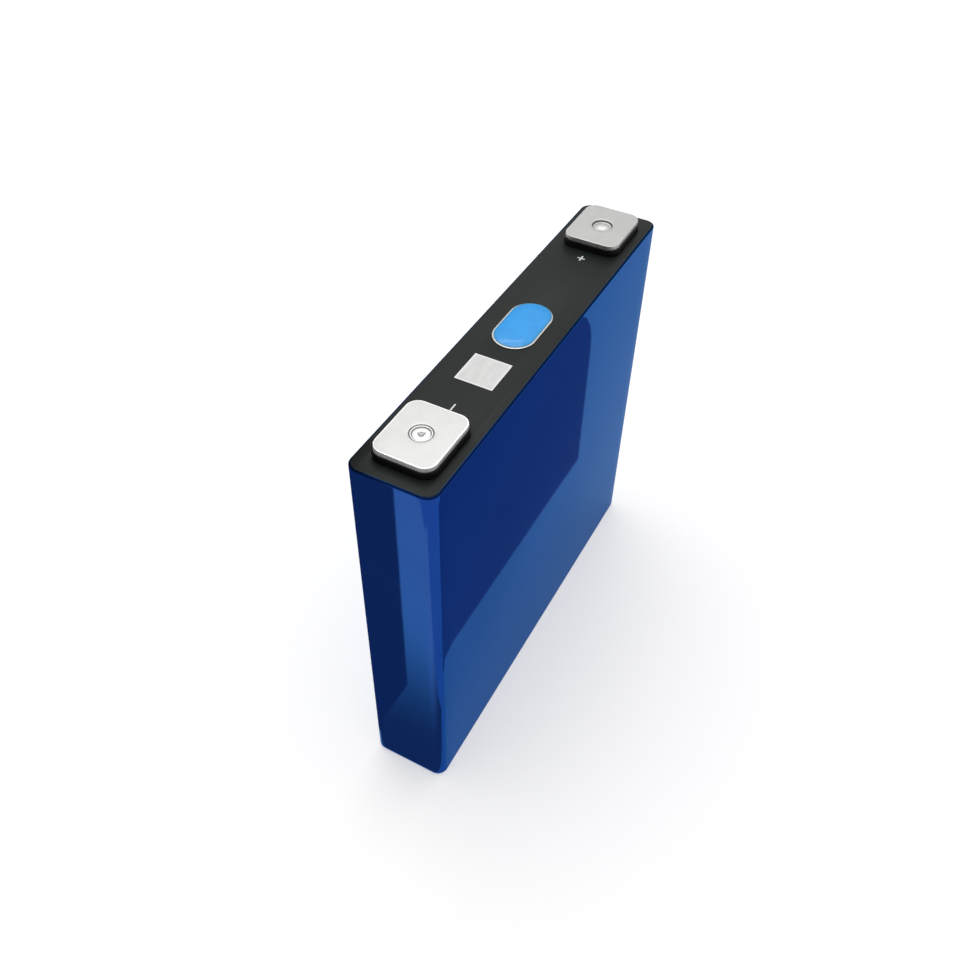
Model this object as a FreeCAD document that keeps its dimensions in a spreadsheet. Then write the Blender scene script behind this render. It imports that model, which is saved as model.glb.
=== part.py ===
import FreeCAD, Part
import math
import os
import Sketcher

# Prismatic battery cell, in millimetres.
# +X points to the positive terminal, +Y across the thin side, +Z up.
# The origin is the middle of the underside.

DIMENSIONS = {
    # outside of the wrapped cell
    "cell_length": 148.0,
    "cell_thick": 26.2,
    "cell_corner": 3.6,
    "deck_height": 134.6,
    # blue film and the sheets on the lid and under the can
    "film_thick": 0.1,
    "shoulder": 0.9,
    "foot": 1.4,
    "patch_thick": 0.2,
    "patch_gap": 0.05,
    # can and lid
    "can_wall": 0.9,
    "can_floor": 1.2,
    "lid_thick": 1.8,
    "spigot_depth": 0.6,
    "spigot_wall": 1.2,
    "fit_gap": 0.1,
    # terminals
    "terminal_reach": 57.4,
    "block_length": 22.3,
    "block_width": 18.4,
    "block_corner": 3.7,
    "block_thick": 2.3,
    "block_edge": 0.35,
    "block_sink": 1.2,
    "dish_dia": 6.6,
    "dish_depth": 0.45,
    "tray_rim": 0.4,
    "tray_height": 2.7,
    "post_dia": 5.4,
    "post_flange": 15.0,
    "flange_width": 12.0,
    "strip_corner": 1.5,
    "flange_thick": 1.4,
    "dimple_dia": 2.7,
    "dimple_depth": 0.35,
    "seal_wall": 1.2,
    # vent
    "vent_length": 23.6,
    "vent_width": 13.3,
    "vent_rim": 0.75,
    "vent_rise": 0.5,
    "vent_sink": 0.5,
    "vent_ledge": 1.6,
    "vent_plate_thick": 0.4,
    "vent_film_thick": 0.3,
    "vent_crown": 0.7,
    "crown_round": 0.4,
    "score_width": 0.5,
    "score_depth": 0.25,
    # filling hole
    "fill_reach": 22.0,
    "fill_dia": 2.4,
    "fill_cap_dia": 7.0,
    "fill_cap_thick": 0.7,
    # label and marks
    "label_reach": 24.1,
    "label_size": 12.4,
    "label_width": 11.8,
    "label_thick": 0.06,
    "mark_reach": 41.3,
    "mark_length": 2.8,
    "mark_cross": 2.4,
    "mark_stroke": 0.45,
    "mark_thick": 0.05,
    # under the lid
    "lower_plate": 1.2,
    "lower_corner": 1.0,
    "collector_thick": 0.8,
    "collector_width": 15.0,
    "collector_inner": 19.0,
    "lower_inner": 13.0,
    "flow_slots": 5,
    "flow_pitch": 28.0,
    "flow_length": 18.0,
    "flow_width": 4.0,
    "support_thick": 1.0,
    "sleeve_thick": 0.2,
    "sleeve_rise": 4.0,
    "core_gap": 0.2,
    "core_thick": 11.3,
    "core_length": 144.6,
    "core_height": 117.5,
    "core_eye": 0.25,
    "core_turns": 4,
    "winding_start": 0.9,
    "winding_end": 0.5,
    "sheet_thick": 0.36,
    "positive_margin": 2.0,
    "negative_margin": 1.0,
    "separator_thick": 0.14,
    "layer_gap": 0.05,
    "tape_thick": 0.08,
    "tape_length": 60.0,
    "tape_height": 70.0,
    "tab_width": 26.0,
    "tab_reach": 34.0,
    "tab_thick": 1.0,
    "tab_round": 0.9,
}

TOLERANCE = 1e-4

doc = FreeCAD.newDocument("prismatic_cell")


def make_sheet():
    """Write the driving dimensions into a spreadsheet, one named cell each."""
    sheet = doc.addObject("Spreadsheet::Sheet", "Dimensions")
    for row, (name, value) in enumerate(DIMENSIONS.items(), start=1):
        cell = "B%d" % row
        sheet.set("A%d" % row, name)
        sheet.set(cell, str(value))
        sheet.setAlias(cell, name)
    doc.recompute()
    return sheet


sheet = make_sheet()


def bound(expression):
    """Turn the names of dimensions in an expression into references to the sheet."""
    words = []
    word = ""
    for letter in expression + " ":
        if letter.isalnum() or letter == "_":
            word += letter
            continue
        words.append("Dimensions." + word if word in DIMENSIONS else word)
        words.append(letter)
        word = ""
    return "".join(words).strip()


def size(name):
    """The value of a dimension, read from the sheet."""
    return float(sheet.get(name))


# ---------------------------------------------------------------- bodies, sketches and features

def new_body(label, at=("0", "0", "0")):
    """A body whose place is bound to the sheet."""
    body = doc.addObject("PartDesign::Body", label)
    body.Label = label
    for axis, expression in zip("xyz", at):
        body.setExpression("Placement.Base." + axis, bound(expression))
    return body


def new_sketch(body, name, at=("0", "0", "0")):
    """An empty sketch on the body's own XY plane, shifted by expressions."""
    sketch = body.newObject("Sketcher::SketchObject", name)
    plane = [item for item in body.Origin.OriginFeatures if item.Role == "XY_Plane"][0]
    sketch.AttachmentSupport = [(plane, "")]
    sketch.MapMode = "FlatFace"
    for axis, expression in zip("xyz", at):
        sketch.setExpression("AttachmentOffset.Base." + axis, bound(expression))
    return sketch


def drive(sketch, constraint, name, expression):
    """Add a named dimension to a sketch and bind it to the sheet."""
    index = sketch.addConstraint(constraint)
    sketch.renameConstraint(index, name)
    sketch.setExpression("Constraints." + name, bound(expression))


def vector(x, y):
    return FreeCAD.Vector(x, y, 0)


def draw_rectangle(sketch, length, width, corner=None):
    """A rectangle centred on the sketch's origin, with round corners if a radius is given."""
    half_x, half_y = 10.0, 6.0
    first = sketch.GeometryCount
    ends = [(half_x, half_y), (-half_x, half_y), (-half_x, -half_y), (half_x, -half_y)]
    if corner is None:
        for index, start in enumerate(ends):
            end = ends[(index + 1) % 4]
            sketch.addGeometry(Part.LineSegment(vector(*start), vector(*end)))
        for index in range(4):
            joined = Sketcher.Constraint("Coincident", first + index, 2, first + (index + 1) % 4, 1)
            sketch.addConstraint(joined)
        top, left, bottom, right = first, first + 1, first + 2, first + 3
        opposite = (top, 1, bottom, 1)
    else:
        draft_radius = 1.0
        turns = [0, 90, 180, 270]
        for index, (x, y) in enumerate(ends):
            centre = vector(x - math.copysign(draft_radius, x), y - math.copysign(draft_radius, y))
            start = math.radians(turns[index])
            circle = Part.Circle(centre, FreeCAD.Vector(0, 0, 1), draft_radius)
            arc = Part.ArcOfCircle(circle, start, start + math.pi / 2)
            sketch.addGeometry(arc)
            nx, ny = ends[(index + 1) % 4]
            step = vector(-draft_radius, 0) if index % 2 == 0 else vector(0, -draft_radius)
            if index >= 2:
                step = step * -1
            line = Part.LineSegment(vector(x, y) + step, vector(nx, ny) - step)
            sketch.addGeometry(line)
        for index in range(4):
            arc = first + 2 * index
            line = arc + 1
            following = first + (2 * index + 2) % 8
            sketch.addConstraint(Sketcher.Constraint("Tangent", arc, 2, line, 1))
            sketch.addConstraint(Sketcher.Constraint("Tangent", line, 2, following, 1))
            if index:
                sketch.addConstraint(Sketcher.Constraint("Equal", first, arc))
        top, left, bottom, right = first + 1, first + 3, first + 5, first + 7
        opposite = (first, 3, first + 4, 3)
        drive(sketch, Sketcher.Constraint("Radius", first, draft_radius), "corner", corner)
    sketch.addConstraint(Sketcher.Constraint("Horizontal", top))
    sketch.addConstraint(Sketcher.Constraint("Horizontal", bottom))
    sketch.addConstraint(Sketcher.Constraint("Vertical", left))
    sketch.addConstraint(Sketcher.Constraint("Vertical", right))
    sketch.addConstraint(Sketcher.Constraint("Symmetric", *opposite, -1, 1))
    drive(sketch, Sketcher.Constraint("Distance", left, 1, right, 2 * half_x), "length", length)
    drive(sketch, Sketcher.Constraint("Distance", top, 1, bottom, 2 * half_y), "width", width)


def draw_slot(sketch, length, width, prefix=""):
    """A stadium along X, centred on the sketch's origin."""
    reach, radius = 6.0, 4.0
    first = sketch.GeometryCount
    up = FreeCAD.Vector(0, 0, 1)
    quarter = math.pi / 2
    right = Part.ArcOfCircle(Part.Circle(vector(reach, 0), up, radius), -quarter, quarter)
    left = Part.ArcOfCircle(Part.Circle(vector(-reach, 0), up, radius), quarter, 3 * quarter)
    sketch.addGeometry(right)
    sketch.addGeometry(Part.LineSegment(vector(reach, radius), vector(-reach, radius)))
    sketch.addGeometry(left)
    sketch.addGeometry(Part.LineSegment(vector(-reach, -radius), vector(reach, -radius)))
    for index in range(4):
        following = first + (index + 1) % 4
        sketch.addConstraint(Sketcher.Constraint("Tangent", first + index, 2, following, 1))
    sketch.addConstraint(Sketcher.Constraint("Horizontal", first + 1))
    sketch.addConstraint(Sketcher.Constraint("Equal", first, first + 2))
    sketch.addConstraint(Sketcher.Constraint("Symmetric", first, 3, first + 2, 3, -1, 1))
    rounding = Sketcher.Constraint("Radius", first, radius)
    drive(sketch, rounding, prefix + "radius", "(%s) / 2" % width)
    span = Sketcher.Constraint("Distance", first, 3, first + 2, 3, 2 * reach)
    drive(sketch, span, prefix + "span", "(%s) - (%s)" % (length, width))


def draw_circle(sketch, diameter):
    """A circle on the sketch's origin."""
    draft_radius = 2.0
    index = sketch.addGeometry(Part.Circle(vector(0, 0), FreeCAD.Vector(0, 0, 1), draft_radius))
    sketch.addConstraint(Sketcher.Constraint("Coincident", index, 3, -1, 1))
    drive(sketch, Sketcher.Constraint("Diameter", index, 2 * draft_radius), "diameter", diameter)


def pad(body, sketch, height, name="Pad"):
    """Raise a sketch along +Z of its own plane."""
    feature = body.newObject("PartDesign::Pad", name)
    feature.Profile = sketch
    feature.setExpression("Length", bound(height))
    doc.recompute()
    return feature


def pocket(body, sketch, depth, upward=False, name="Pocket"):
    """Cut a sketch downward, or upward, and make sure that something was removed."""
    before = body.Shape.Volume
    feature = body.newObject("PartDesign::Pocket", name)
    feature.Profile = sketch
    feature.Reversed = upward
    feature.setExpression("Length", bound(depth))
    doc.recompute()
    if not body.Shape.Volume < before:
        raise RuntimeError("%s of %s cuts nothing" % (name, body.Label))
    return feature


def edges_where(feature, test):
    """The names of a feature's edges whose box passes the test."""
    names = []
    for index, edge in enumerate(feature.Shape.Edges, start=1):
        if test(edge.BoundBox):
            names.append("Edge%d" % index)
    return names


def round_edges(body, feature, test, radius):
    """Round the edges of a feature that pass a test."""
    blend = body.newObject("PartDesign::Fillet", "Fillet")
    blend.Base = (feature, edges_where(feature, test))
    blend.setExpression("Radius", bound(radius))
    doc.recompute()
    return blend


def at_height(height):
    """A test for edges that lie flat at one height."""
    return lambda box: abs(box.ZMin - height) < TOLERANCE and abs(box.ZMax - height) < TOLERANCE


# ---------------------------------------------------------------- wrap and can

def make_rounded_form(body, inset):
    """The cell's outer form, rounded at the deck and at the foot, drawn in by an inset all round."""
    outline = new_sketch(body, "FormOutline", at=("0", "0", inset))
    draw_rectangle(outline, "cell_length - 2 * (%s)" % inset, "cell_thick - 2 * (%s)" % inset,
                   "cell_corner - (%s)" % inset)
    block = pad(body, outline, "deck_height + film_thick - 2 * (%s)" % inset)
    box = block.Shape.BoundBox
    shoulder = round_edges(body, block, at_height(box.ZMax), "shoulder - (%s)" % inset)
    return round_edges(body, shoulder, at_height(box.ZMin), "foot - (%s)" % inset)


def make_wrap():
    """The blue sleeve: a thin shell with a rounded shoulder and foot, open above and below."""
    body = new_body("blue_film_wrap")
    make_rounded_form(body, "0")
    former = new_body("wrap_former")
    make_rounded_form(former, "film_thick")
    shell = body.newObject("PartDesign::Boolean", "Shell")
    shell.setObjects([former])
    shell.Type = "Cut"
    doc.recompute()
    top = new_sketch(body, "TopOpening", at=("0", "0", "deck_height + film_thick"))
    draw_rectangle(top, "cell_length - 2 * shoulder", "cell_thick - 2 * shoulder", "cell_corner - shoulder")
    pocket(body, top, "film_thick")
    base = new_sketch(body, "BaseOpening", at=("0", "0", "film_thick"))
    draw_rectangle(base, "cell_length - 2 * foot", "cell_thick - 2 * foot", "cell_corner - foot")
    pocket(body, base, "film_thick")


def make_can():
    """The drawn case: four walls and a floor, open at the top, with a rounded foot."""
    body = new_body("can", ("0", "0", "film_thick"))
    outline = new_sketch(body, "CanOutline")
    draw_rectangle(outline, "cell_length - 2 * film_thick", "cell_thick - 2 * film_thick",
                   "cell_corner - film_thick")
    block = pad(body, outline, "deck_height - lid_thick - film_thick")
    round_edges(body, block, at_height(0), "foot - film_thick")
    mouth = new_sketch(body, "CanMouth", at=("0", "0", "deck_height - lid_thick - film_thick"))
    draw_rectangle(mouth, "cell_length - 2 * film_thick - 2 * can_wall",
                   "cell_thick - 2 * film_thick - 2 * can_wall", "cell_corner - film_thick - can_wall")
    pocket(body, mouth, "deck_height - lid_thick - film_thick - can_floor")


def make_bottom_film():
    """The flat insulating sheet that the can stands on, inside the sleeve's foot."""
    body = new_body("bottom_film")
    outline = new_sketch(body, "BottomOutline")
    draw_rectangle(outline, "cell_length - 2 * foot - 2 * patch_gap",
                   "cell_thick - 2 * foot - 2 * patch_gap", "cell_corner - foot - patch_gap")
    pad(body, outline, "film_thick")


# ---------------------------------------------------------------- lid

def make_cover_plate():
    """The lid: rounded upper edge, spigot below, terminal holes, vent seat and filling hole."""
    body = new_body("cover_plate", ("0", "0", "deck_height - lid_thick"))
    outline = new_sketch(body, "LidOutline")
    draw_rectangle(outline, "cell_length - 2 * film_thick", "cell_thick - 2 * film_thick",
                   "cell_corner - film_thick")
    plate = pad(body, outline, "lid_thick")
    round_edges(body, plate, at_height(size("lid_thick")), "shoulder - film_thick")

    spigot = new_sketch(body, "SpigotOutline", at=("0", "0", "-spigot_depth"))
    gap = "2 * (film_thick + can_wall + fit_gap)"
    corner = "cell_corner - film_thick - can_wall - fit_gap"
    draw_rectangle(spigot, "cell_length - " + gap, "cell_thick - " + gap, corner)
    pad(body, spigot, "spigot_depth", "Spigot")
    hollow = new_sketch(body, "SpigotHollow", at=("0", "0", "-spigot_depth"))
    draw_rectangle(hollow, "cell_length - %s - 2 * spigot_wall" % gap,
                   "cell_thick - %s - 2 * spigot_wall" % gap, corner + " - spigot_wall")
    pocket(body, hollow, "spigot_depth", upward=True)

    rim = new_sketch(body, "VentRim", at=("0", "0", "lid_thick"))
    draw_slot(rim, "vent_length", "vent_width")
    raised = pad(body, rim, "vent_rise", "Rim")
    crest = size("lid_thick") + size("vent_rise")
    round_edges(body, raised, at_height(crest), "vent_rise / 2")
    seat = new_sketch(body, "VentSeat", at=("0", "0", "lid_thick + vent_rise"))
    draw_slot(seat, "vent_length - 2 * vent_rim", "vent_width - 2 * vent_rim")
    pocket(body, seat, "vent_rise + vent_sink")
    mouth = new_sketch(body, "VentMouth", at=("0", "0", "lid_thick"))
    draw_slot(mouth, "vent_length - 2 * (vent_rim + vent_ledge)", "vent_width - 2 * (vent_rim + vent_ledge)")
    pocket(body, mouth, "lid_thick")
    below = new_sketch(body, "VentWeldSeat")
    draw_slot(below, "vent_length - 2 * vent_rim - vent_ledge", "vent_width - 2 * vent_rim - vent_ledge")
    pocket(body, below, "vent_plate_thick", upward=True)

    for side in ("-", ""):
        hole = new_sketch(body, "PostHole", at=(side + "terminal_reach", "0", "lid_thick"))
        draw_circle(hole, "post_dia + 2 * seal_wall")
        pocket(body, hole, "lid_thick")
    counterbore = new_sketch(body, "CapSeat", at=("fill_reach", "0", "lid_thick"))
    draw_circle(counterbore, "fill_cap_dia + fit_gap")
    pocket(body, counterbore, "fill_cap_thick")
    drilled = new_sketch(body, "FillHole", at=("fill_reach", "0", "lid_thick"))
    draw_circle(drilled, "fill_dia")
    pocket(body, drilled, "lid_thick")


def make_vent_plate():
    """The burst plate: a thin stadium with a scored groove, welded under the lid's vent mouth."""
    body = new_body("vent_plate", ("0", "0", "deck_height - lid_thick"))
    outline = new_sketch(body, "PlateOutline")
    edge = "2 * vent_rim + vent_ledge + 2 * fit_gap"
    draw_slot(outline, "vent_length - (%s)" % edge, "vent_width - (%s)" % edge)
    pad(body, outline, "vent_plate_thick")
    score = new_sketch(body, "Score", at=("0", "0", "vent_plate_thick"))
    inset = "2 * (vent_rim + vent_ledge + score_width)"
    draw_slot(score, "vent_length - " + inset, "vent_width - " + inset)
    inner = "2 * (vent_rim + vent_ledge + 2 * score_width)"
    draw_slot(score, "vent_length - " + inner, "vent_width - " + inner, "inner_")
    pocket(body, score, "score_depth")


def make_vent_film():
    """The light-blue film over the vent: it lies on the seat and bulges up in the middle."""
    body = new_body("vent_film", ("0", "0", "deck_height - vent_sink"))
    outline = new_sketch(body, "FilmOutline")
    edge = "2 * (vent_rim + fit_gap)"
    draw_slot(outline, "vent_length - " + edge, "vent_width - " + edge)
    pad(body, outline, "vent_film_thick")
    crown = new_sketch(body, "Crown", at=("0", "0", "vent_film_thick"))
    draw_slot(crown, "vent_length - %s - 2 * vent_crown" % edge, "vent_width - %s - 2 * vent_crown" % edge)
    raised = pad(body, crown, "vent_crown", "Crown")
    crest = size("vent_film_thick") + size("vent_crown")
    round_edges(body, raised, at_height(crest), "crown_round")


def make_top_patch():
    """The black sheet on the lid, with a window for each terminal and one for the vent."""
    body = new_body("top_patch", ("0", "0", "deck_height"))
    outline = new_sketch(body, "PatchOutline")
    edge = "2 * (shoulder + patch_gap)"
    draw_rectangle(outline, "cell_length - " + edge, "cell_thick - " + edge,
                   "cell_corner - shoulder - patch_gap")
    pad(body, outline, "patch_thick")
    for side in ("-", ""):
        window = new_sketch(body, "TerminalWindow", at=(side + "terminal_reach", "0", "patch_thick"))
        margin = "2 * (tray_rim + 2 * fit_gap)"
        draw_rectangle(window, "block_length + " + margin, "block_width + " + margin,
                       "block_corner + tray_rim + 2 * fit_gap")
        pocket(body, window, "patch_thick")
    vent = new_sketch(body, "VentWindow", at=("0", "0", "patch_thick"))
    draw_slot(vent, "vent_length + 2 * patch_gap", "vent_width + 2 * patch_gap")
    pocket(body, vent, "patch_thick")


def make_label_and_marks():
    """The square label near the vent, and a raised ink mark beside each terminal."""
    top = "deck_height + patch_thick"
    label = new_body("code_label", ("-label_reach", "0", top))
    outline = new_sketch(label, "LabelOutline")
    draw_rectangle(outline, "label_size", "label_width")
    pad(label, outline, "label_thick")

    minus = new_body("minus_mark", ("-mark_reach", "0", top))
    plus = new_body("plus_mark", ("mark_reach", "0", top))
    for body in (minus, plus):
        stroke = new_sketch(body, "Stroke")
        draw_rectangle(stroke, "mark_length", "mark_stroke")
        pad(body, stroke, "mark_thick")
    cross = new_sketch(plus, "CrossStroke")
    draw_rectangle(cross, "mark_stroke", "mark_cross")
    pad(plus, cross, "mark_thick", "Cross")


def make_filling_plug():
    """The rubber plug pressed into the electrolyte hole."""
    plug = new_body("filling_plug", ("fill_reach", "0", "deck_height - lid_thick"))
    outline = new_sketch(plug, "PlugOutline")
    draw_circle(outline, "fill_dia - fit_gap")
    pad(plug, outline, "lid_thick - fill_cap_thick")


def make_filling_cap():
    """The aluminium disc welded over the plug, flush with the lid."""
    cap = new_body("filling_cap", ("fill_reach", "0", "deck_height - fill_cap_thick"))
    outline = new_sketch(cap, "CapOutline")
    draw_circle(outline, "fill_cap_dia - fit_gap")
    pad(cap, outline, "fill_cap_thick")


# ---------------------------------------------------------------- terminals

def make_terminal_block(polarity, side):
    """The rounded-square block, with a shallow dish in which it is welded to its post."""
    base = "deck_height + tray_height - block_sink"
    body = new_body(polarity + "_terminal_block", (side + "terminal_reach", "0", base))
    outline = new_sketch(body, "BlockOutline")
    draw_rectangle(outline, "block_length", "block_width", "block_corner")
    block = pad(body, outline, "block_thick")
    round_edges(body, block, at_height(size("block_thick")), "block_edge")
    dish = new_sketch(body, "Dish", at=("0", "0", "block_thick"))
    draw_circle(dish, "dish_dia")
    pocket(body, dish, "dish_depth")
    hole = new_sketch(body, "PostHole", at=("0", "0", "block_thick"))
    draw_circle(hole, "post_dia + fit_gap")
    pocket(body, hole, "block_thick")


def make_terminal_post(polarity, side):
    """The rivet post: a flange inside the cell and a shaft up to the dish, dimpled on top."""
    foot = "deck_height - lid_thick - lower_plate - flange_thick"
    body = new_body(polarity + "_terminal_post", (side + "terminal_reach", "0", foot))
    flange = new_sketch(body, "FlangeOutline")
    draw_rectangle(flange, "post_flange", "flange_width", "strip_corner")
    pad(body, flange, "flange_thick")
    shaft = new_sketch(body, "ShaftOutline", at=("0", "0", "flange_thick"))
    draw_circle(shaft, "post_dia")
    rise = "lower_plate + lid_thick + tray_height - block_sink + block_thick - dish_depth"
    pad(body, shaft, rise, "Shaft")
    dimple = new_sketch(body, "Dimple", at=("0", "0", "flange_thick + " + rise))
    draw_circle(dimple, "dimple_dia")
    pocket(body, dimple, "dimple_depth")


def make_upper_insulator(polarity, side):
    """The black tray that carries a block and keeps it off the lid."""
    body = new_body(polarity + "_upper_insulator", (side + "terminal_reach", "0", "deck_height"))
    outline = new_sketch(body, "TrayOutline")
    draw_rectangle(outline, "block_length + 2 * tray_rim", "block_width + 2 * tray_rim",
                   "block_corner + tray_rim")
    tray = pad(body, outline, "tray_height")
    round_edges(body, tray, at_height(size("tray_height")), "tray_rim / 2")
    seat = new_sketch(body, "BlockSeat", at=("0", "0", "tray_height"))
    draw_rectangle(seat, "block_length + patch_gap", "block_width + patch_gap", "block_corner")
    pocket(body, seat, "block_sink")
    hole = new_sketch(body, "PostHole", at=("0", "0", "tray_height"))
    draw_circle(hole, "post_dia + 2 * fit_gap")
    pocket(body, hole, "tray_height")


def make_seal_ring(polarity, side):
    """The rubber sleeve that fills the lid's hole round a post."""
    body = new_body(polarity + "_seal_ring", (side + "terminal_reach", "0", "deck_height - lid_thick"))
    outline = new_sketch(body, "SealOutline")
    draw_circle(outline, "post_dia + 2 * seal_wall - fit_gap")
    pad(body, outline, "lid_thick")
    bore = new_sketch(body, "SealBore", at=("0", "0", "lid_thick"))
    draw_circle(bore, "post_dia + fit_gap")
    pocket(body, bore, "lid_thick")


def make_lower_insulator(polarity, side):
    """Half of the plastic plate under the lid, with a hole for its post."""
    end = "(cell_length / 2 - film_thick - can_wall - spigot_wall - 3 * fit_gap)"
    middle = "(%s + lower_inner) / 2" % end
    body = new_body(polarity + "_lower_insulator",
                    ("%s(%s)" % (side, middle), "0", "deck_height - lid_thick - lower_plate"))
    outline = new_sketch(body, "PlateOutline")
    draw_rectangle(outline, "%s - lower_inner" % end,
                   "cell_thick - 2 * (film_thick + can_wall + spigot_wall + 3 * fit_gap)", "lower_corner")
    pad(body, outline, "lower_plate")
    hole = new_sketch(body, "PostHole", at=("%s(terminal_reach - %s)" % (side, middle), "0", "lower_plate"))
    draw_circle(hole, "post_dia + 2 * fit_gap")
    pocket(body, hole, "lower_plate")
    if polarity == "positive":
        drain = new_sketch(body, "FillHole", at=("fill_reach - " + middle, "0", "lower_plate"))
        draw_circle(drain, "2 * fill_dia")
        pocket(body, drain, "lower_plate")


def make_collector(polarity, side):
    """The strip that joins a post's flange to the tabs of both cores."""
    reach = "(terminal_reach + post_flange / 2)"
    foot = "deck_height - lid_thick - lower_plate - flange_thick - collector_thick"
    body = new_body(polarity + "_collector", ("%s(%s + collector_inner) / 2" % (side, reach), "0", foot))
    outline = new_sketch(body, "StripOutline")
    draw_rectangle(outline, reach + " - collector_inner", "collector_width", "strip_corner")
    pad(body, outline, "collector_thick")


# ---------------------------------------------------------------- inside the can

def make_bottom_support():
    """The plastic plate under the cores, with a row of slots for the electrolyte."""
    body = new_body("bottom_support", ("0", "0", "film_thick + can_floor"))
    outline = new_sketch(body, "SupportOutline")
    gap = "2 * (film_thick + can_wall + fit_gap)"
    draw_rectangle(outline, "cell_length - " + gap, "cell_thick - " + gap,
                   "cell_corner - film_thick - can_wall - fit_gap")
    pad(body, outline, "support_thick")
    slot = new_sketch(body, "FlowSlot", at=("-(flow_slots - 1) / 2 * flow_pitch", "0", "support_thick"))
    draw_slot(slot, "flow_length", "flow_width")
    cut = pocket(body, slot, "support_thick")
    row = body.newObject("PartDesign::LinearPattern", "FlowSlots")
    row.Originals = [cut]
    row.Direction = (slot, ["H_Axis"])
    row.setExpression("Length", bound("(flow_slots - 1) * flow_pitch"))
    row.setExpression("Occurrences", bound("flow_slots"))
    body.Tip = row
    before = cut.Shape.Volume
    doc.recompute()
    if not body.Shape.Volume < before:
        raise RuntimeError("the pattern of slots cuts nothing")


def make_core_sleeve():
    """The insulating bag round both cores, open at the top."""
    body = new_body("core_sleeve", ("0", "0", "film_thick + can_floor + support_thick"))
    outline = new_sketch(body, "SleeveOutline")
    gap = "2 * (film_thick + can_wall + fit_gap)"
    corner = "cell_corner - film_thick - can_wall - fit_gap"
    draw_rectangle(outline, "cell_length - " + gap, "cell_thick - " + gap, corner)
    pad(body, outline, "sleeve_thick + core_height + sleeve_rise")
    hollow = new_sketch(body, "SleeveHollow", at=("0", "0", "sleeve_thick + core_height + sleeve_rise"))
    draw_rectangle(hollow, "cell_length - %s - 2 * sleeve_thick" % gap,
                   "cell_thick - %s - 2 * sleeve_thick" % gap, corner + " - sleeve_thick")
    pocket(body, hollow, "core_height + sleeve_rise")


def core_floor():
    """The height at which the cores stand."""
    return size("film_thick") + size("can_floor") + size("support_thick") + size("sleeve_thick")


def winding_path(offset, pitch):
    """The edges of a flattened spiral, as (start, middle, end) arcs and (start, end) lines.

    Right-hand bends are centred half a pitch above left-hand ones, so that every half turn starts
    where the one before it ends and the radius grows by half a pitch each time.
    """
    first_radius = size("core_eye")
    half_turns = int(2 * size("core_turns"))
    widest = first_radius + half_turns * pitch / 2 + pitch / 2
    reach = size("core_length") / 2 - widest
    edges = []
    here = vector(-size("winding_start") * reach, pitch / 2 - first_radius - offset)
    for half_turn in range(half_turns):
        radius = first_radius + half_turn * pitch / 2 + offset
        rightward = half_turn % 2 == 0
        way = 1 if rightward else -1
        centre = vector(way * reach, pitch / 2 if rightward else 0)
        start = centre + vector(0, -way * radius)
        end = centre + vector(0, way * radius)
        edges.append((here, start))
        edges.append((start, centre + vector(way * radius, 0), end))
        here = end
    edges.append((here, vector(size("winding_end") * reach, here.y)))
    return edges


def wound_strip(offset, thick, pitch, height):
    """A strip wound into a flattened spiral: the space between two such paths, raised along Z."""
    inner = winding_path(offset, pitch)
    outer = winding_path(offset + thick, pitch)
    pieces = []
    for path in (inner, outer):
        for points in path:
            if len(points) == 2:
                pieces.append(Part.LineSegment(*points).toShape())
            else:
                pieces.append(Part.Arc(*points).toShape())
    pieces.append(Part.LineSegment(inner[0][0], outer[0][0]).toShape())
    pieces.append(Part.LineSegment(inner[-1][-1], outer[-1][-1]).toShape())
    wire = Part.Wire(Part.__sortEdges__(pieces))
    return Part.Face(wire).extrude(FreeCAD.Vector(0, 0, height))


def make_windings(core, side):
    """The two electrode sheets and two separators of one core, wound together."""
    sheet_thick = size("sheet_thick")
    separator = size("separator_thick")
    gap = size("layer_gap")
    pitch = 2 * (sheet_thick + separator + 2 * gap)
    full = size("core_height")
    second = sheet_thick + separator + 2 * gap
    strips = {
        "positive_sheet": (full - 2 * size("positive_margin"), sheet_thick, [0.0]),
        "negative_sheet": (full - 2 * size("negative_margin"), sheet_thick, [second]),
        "separators": (full, separator, [sheet_thick + gap, second + sheet_thick + gap]),
    }
    middle = side * (size("core_thick") + size("core_gap")) / 2
    turn = FreeCAD.Rotation(FreeCAD.Vector(0, 0, 1), 0 if side > 0 else 180)
    for name, (height, thick, offsets) in strips.items():
        solids = [wound_strip(offset, thick, pitch, height) for offset in offsets]
        feature = doc.addObject("Part::Feature", "%s_%s" % (core, name))
        feature.Label = "%s_%s" % (core, name)
        feature.Shape = solids[0] if len(solids) == 1 else Part.Compound(solids)
        foot = core_floor() + (full - height) / 2
        feature.Placement = FreeCAD.Placement(FreeCAD.Vector(0, middle, foot), turn)


def make_end_tape(core, side):
    """The tape that holds the outer end of a core's winding, on its inner flat side."""
    middle = "(core_thick + core_gap) / 2"
    half_pitch = "(sheet_thick + separator_thick + 2 * layer_gap)"
    face = "core_eye + (2 * core_turns + 1) * %s - layer_gap + tape_thick / 2" % half_pitch
    floor = "film_thick + can_floor + support_thick + sleeve_thick + (core_height - tape_height) / 2"
    body = new_body(core + "_end_tape", ("0", side + middle, floor))
    if side == "-":
        body.Placement.Rotation = FreeCAD.Rotation(FreeCAD.Vector(0, 0, 1), 180)
    outline = new_sketch(body, "TapeOutline", at=("0", "-(%s)" % face, "0"))
    draw_rectangle(outline, "tape_length", "tape_thick")
    pad(body, outline, "tape_height")


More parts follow.
